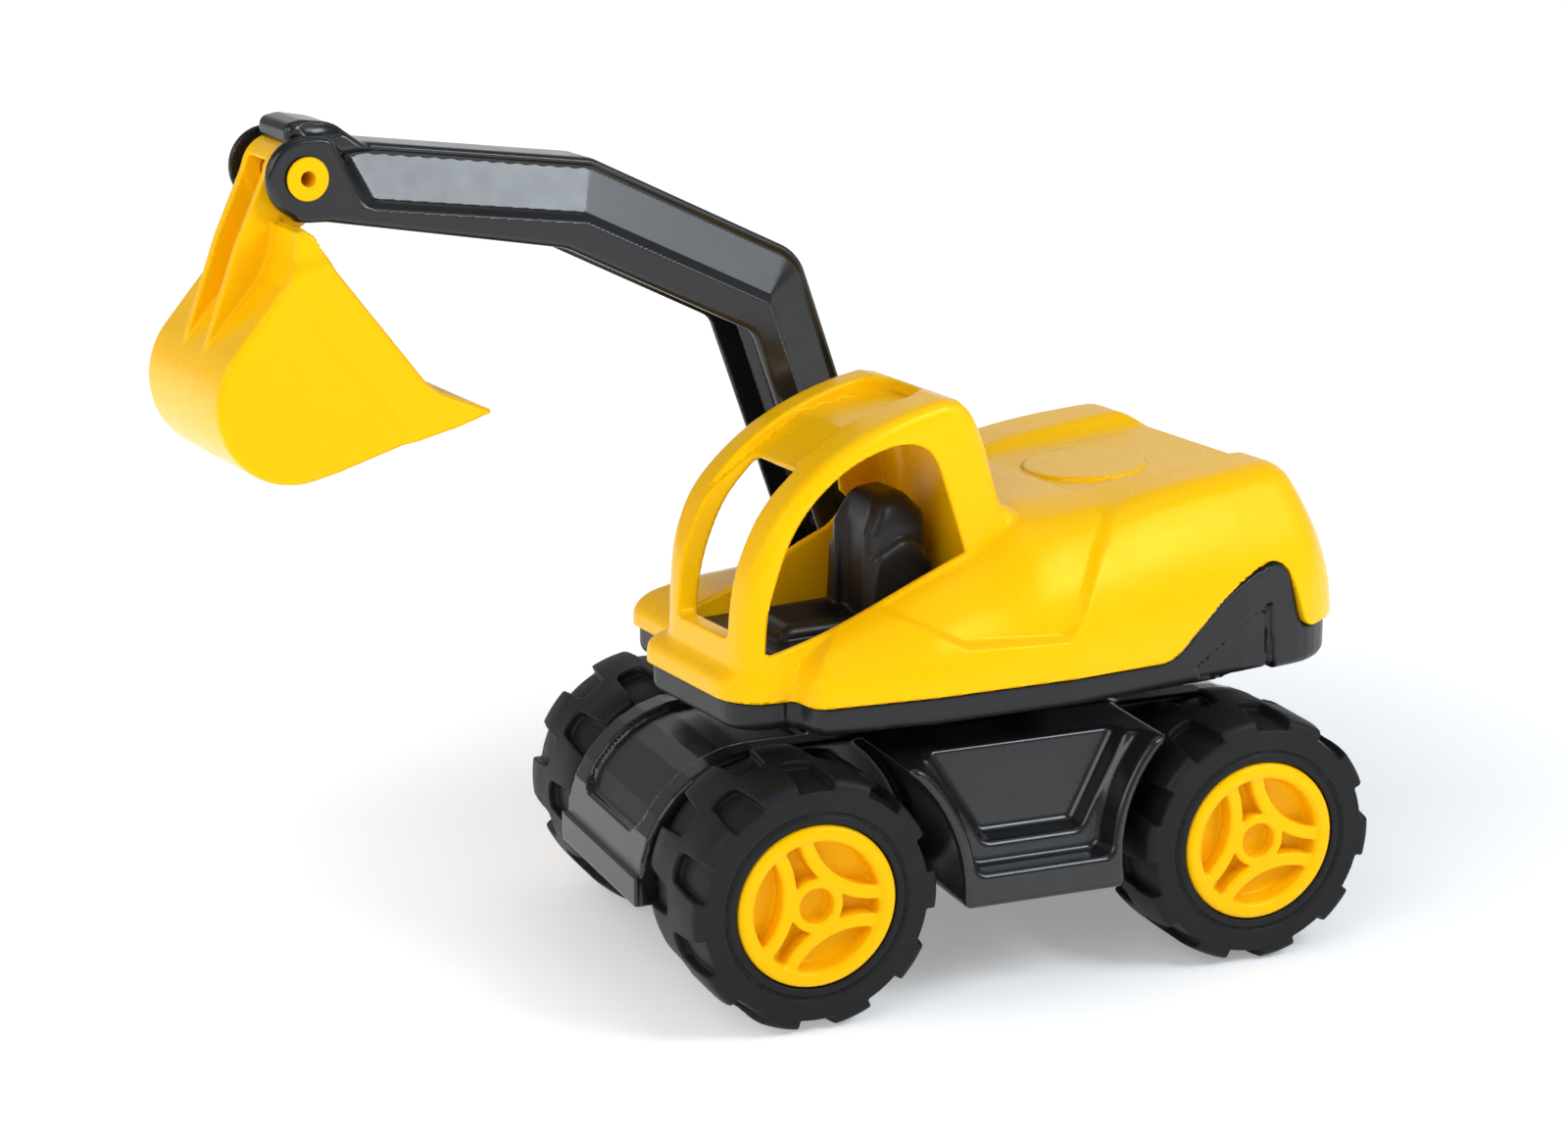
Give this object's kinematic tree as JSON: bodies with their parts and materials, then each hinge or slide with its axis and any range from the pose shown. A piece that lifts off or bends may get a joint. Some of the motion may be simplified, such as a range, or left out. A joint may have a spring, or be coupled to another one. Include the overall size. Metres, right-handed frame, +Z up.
{
  "type": "toy excavator",
  "caption": "Wheeled toy excavator whose cab and engine deck slew on the chassis, with a cranked boom that lifts and a bucket that hangs from its tip.",
  "frame": {"origin": "centre of the bounding box in plan, at the ground", "axes": "-X is forward along the chassis, +Z is up, and +Y is the chassis's right-hand side as seen by the driver"},
  "size_m": [0.3166, 0.1384, 0.2371],
  "materials": {
    "yellow_plastic": "glossy moulded plastic",
    "black_gloss_plastic": "glossy moulded plastic",
    "black_satin_plastic": "satin moulded plastic",
    "tyre_plastic": "matte soft plastic",
    "steel": "plain steel"
  },
  "bodies": {
    "chassis": {"chassis_shell": "black_gloss_plastic"},
    "superstructure": {"base_tray": "black_satin_plastic", "body_shell": "yellow_plastic", "seat": "black_satin_plastic", "body_screw_1": "steel", "body_screw_2": "steel", "body_screw_3": "steel", "body_screw_4": "steel", "swivel_screw": "steel", "swivel_washer": "steel", "boom_pin": "steel"},
    "boom": {"boom": "black_gloss_plastic", "bucket_pin": "yellow_plastic"},
    "bucket": {"bucket": "yellow_plastic"},
    "front_wheels": {"front_axle": "steel", "front_left_rim": "yellow_plastic", "front_left_tyre": "tyre_plastic", "front_right_rim": "yellow_plastic", "front_right_tyre": "tyre_plastic"},
    "rear_wheels": {"rear_axle": "steel", "rear_left_rim": "yellow_plastic", "rear_left_tyre": "tyre_plastic", "rear_right_rim": "yellow_plastic", "rear_right_tyre": "tyre_plastic"}
  },
  "joints": [
    {"name": "slew", "type": "hinge", "parent": "chassis", "child": "superstructure", "pos_m": [0.05507, -0.00223, 0.072], "axis": [0, 0, 1], "continuous": true},
    {"name": "boom_lift", "type": "hinge", "parent": "superstructure", "child": "boom", "pos_m": [0.03544, 0.02606, 0.11], "axis": [-0.1392, 0.9903, 0], "range_deg": [-45, 10]},
    {"name": "bucket_tilt", "type": "hinge", "parent": "boom", "child": "bucket", "pos_m": [-0.12459, 0.00357, 0.224], "axis": [-0.1392, 0.9903, 0], "range_deg": [-30, 70]},
    {"name": "front_axle_spin", "type": "hinge", "parent": "chassis", "child": "front_wheels", "pos_m": [-0.00993, -0.00223, 0.035], "axis": [0, 1, 0], "continuous": true},
    {"name": "rear_axle_spin", "type": "hinge", "parent": "chassis", "child": "rear_wheels", "pos_m": [0.12007, -0.00223, 0.035], "axis": [0, 1, 0], "continuous": true}
  ]
}
